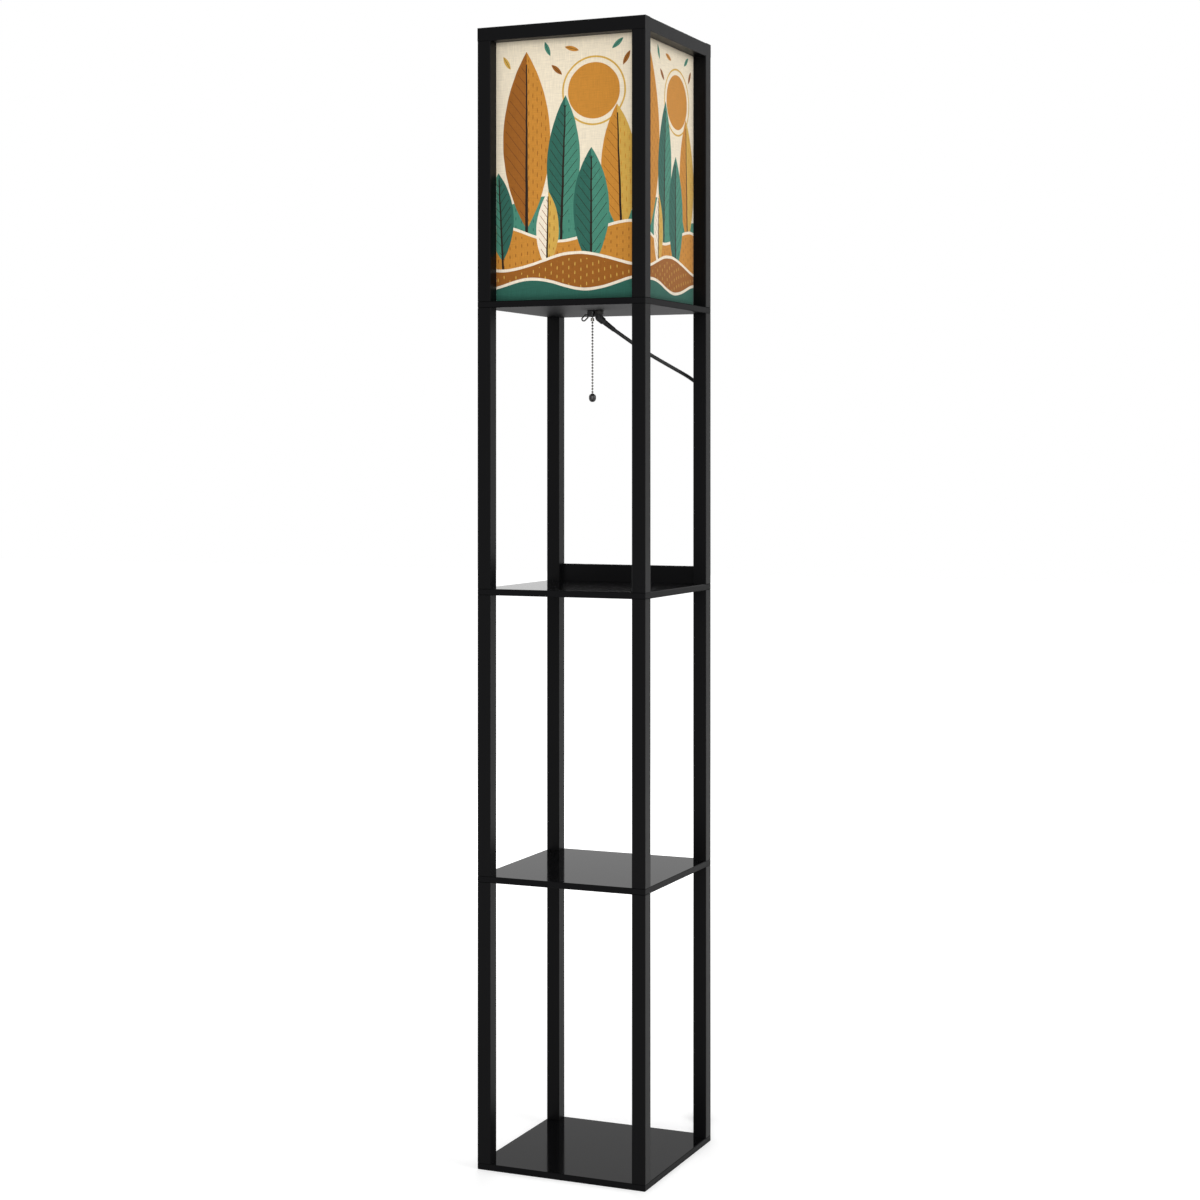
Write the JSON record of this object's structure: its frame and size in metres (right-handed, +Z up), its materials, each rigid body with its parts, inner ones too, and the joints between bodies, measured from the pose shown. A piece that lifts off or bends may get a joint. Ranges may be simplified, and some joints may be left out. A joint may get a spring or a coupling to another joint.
{
  "type": "shelf floor lamp",
  "caption": "Slim square floor lamp on four posts with open shelves, a fabric shade inside the top bay and a pull chain switch under it.",
  "frame": {"origin": "centre of the base board's underside, where the lamp stands on the floor", "axes": "+X along the front face to the right, +Y towards the back, +Z up along the posts"},
  "size_m": [0.254, 0.3803, 1.6],
  "materials": {
    "black_wood": "satin black lacquer on wood",
    "shade_fabric": "printed linen-look shade cloth on a stiff backing",
    "white_wire": "white enamelled wire",
    "black_phenolic": "moulded phenolic",
    "brass": "plain",
    "nickel": "nickel plate",
    "opal": "opal diffuser",
    "black_metal": "black enamel",
    "dark_wood": "dark lacquer",
    "zinc_steel": "zinc plate",
    "birch": "bare",
    "black_plastic": "moulded",
    "cord_sheath": "satin flexible sheath",
    "tie_plastic": "soft band"
  },
  "bodies": {
    "frame": {"back_rail": "black_wood", "back_rail_screws": "zinc_steel", "base_board": "black_wood", "base_screws": "zinc_steel", "bulb_base": "nickel", "bulb_globe": "opal", "centre_contact": "brass", "chain_bell": "black_metal", "cord_clips": "black_plastic", "cord_hank": "cord_sheath", "cord_lead": "cord_sheath", "cord_tail": "cord_sheath", "deck_washer": "nickel", "dowel_screws": "zinc_steel", "hank_tie": "tie_plastic", "lampholder_body": "black_phenolic", "lampholder_cover": "black_phenolic", "lower_shelf": "black_wood", "middle_shelf": "black_wood", "nipple": "nickel", "nipple_nut": "nickel", "plug_blades": "nickel", "plug_body": "black_plastic", "post_lower_front_left": "black_wood", "post_lower_front_right": "black_wood", "post_lower_rear_left": "black_wood", "post_lower_rear_right": "black_wood", "post_middle_front_left": "black_wood", "post_middle_front_right": "black_wood", "post_middle_rear_left": "black_wood", "post_middle_rear_right": "black_wood", "post_shade_front_left": "black_wood", "post_shade_front_right": "black_wood", "post_shade_rear_left": "black_wood", "post_shade_rear_right": "black_wood", "post_upper_front_left": "black_wood", "post_upper_front_right": "black_wood", "post_upper_rear_left": "black_wood", "post_upper_rear_right": "black_wood", "pull_switch": "black_phenolic", "screw_shell": "brass", "shade_cover": "shade_fabric", "shade_deck": "black_wood", "shade_ring": "black_phenolic", "shade_spider": "white_wire", "shade_wire_lower": "white_wire", "shade_wire_upper": "white_wire", "strain_relief": "black_plastic", "top_rail_dowels": "birch", "top_rail_front": "black_wood", "top_rail_left": "black_wood", "top_rail_rear": "black_wood", "top_rail_right": "black_wood", "top_screws": "zinc_steel", "wire_loop": "nickel"},
    "pull": {"pull_rod": "nickel"},
    "upper_chain": {"chain_upper": "nickel"},
    "lower_chain": {"chain_lower": "nickel", "pull_knob": "dark_wood"}
  },
  "joints": [
    {"name": "switch_pull", "type": "slide", "parent": "frame", "child": "pull", "axis": [0, 0, -1], "range_m": [0, 0.008], "stiffness_N_per_m": 400},
    {"name": "chain_swing_side", "type": "hinge", "parent": "pull", "child": "upper_chain", "pos_m": [-0.0062, 0, 1.1951], "axis": [0, 1, 0], "range_deg": [-15, 15]},
    {"name": "chain_swing_front", "type": "hinge", "parent": "upper_chain", "child": "lower_chain", "pos_m": [-0.0062, 0, 1.14338], "axis": [1, 0, 0], "range_deg": [-15, 15]}
  ]
}
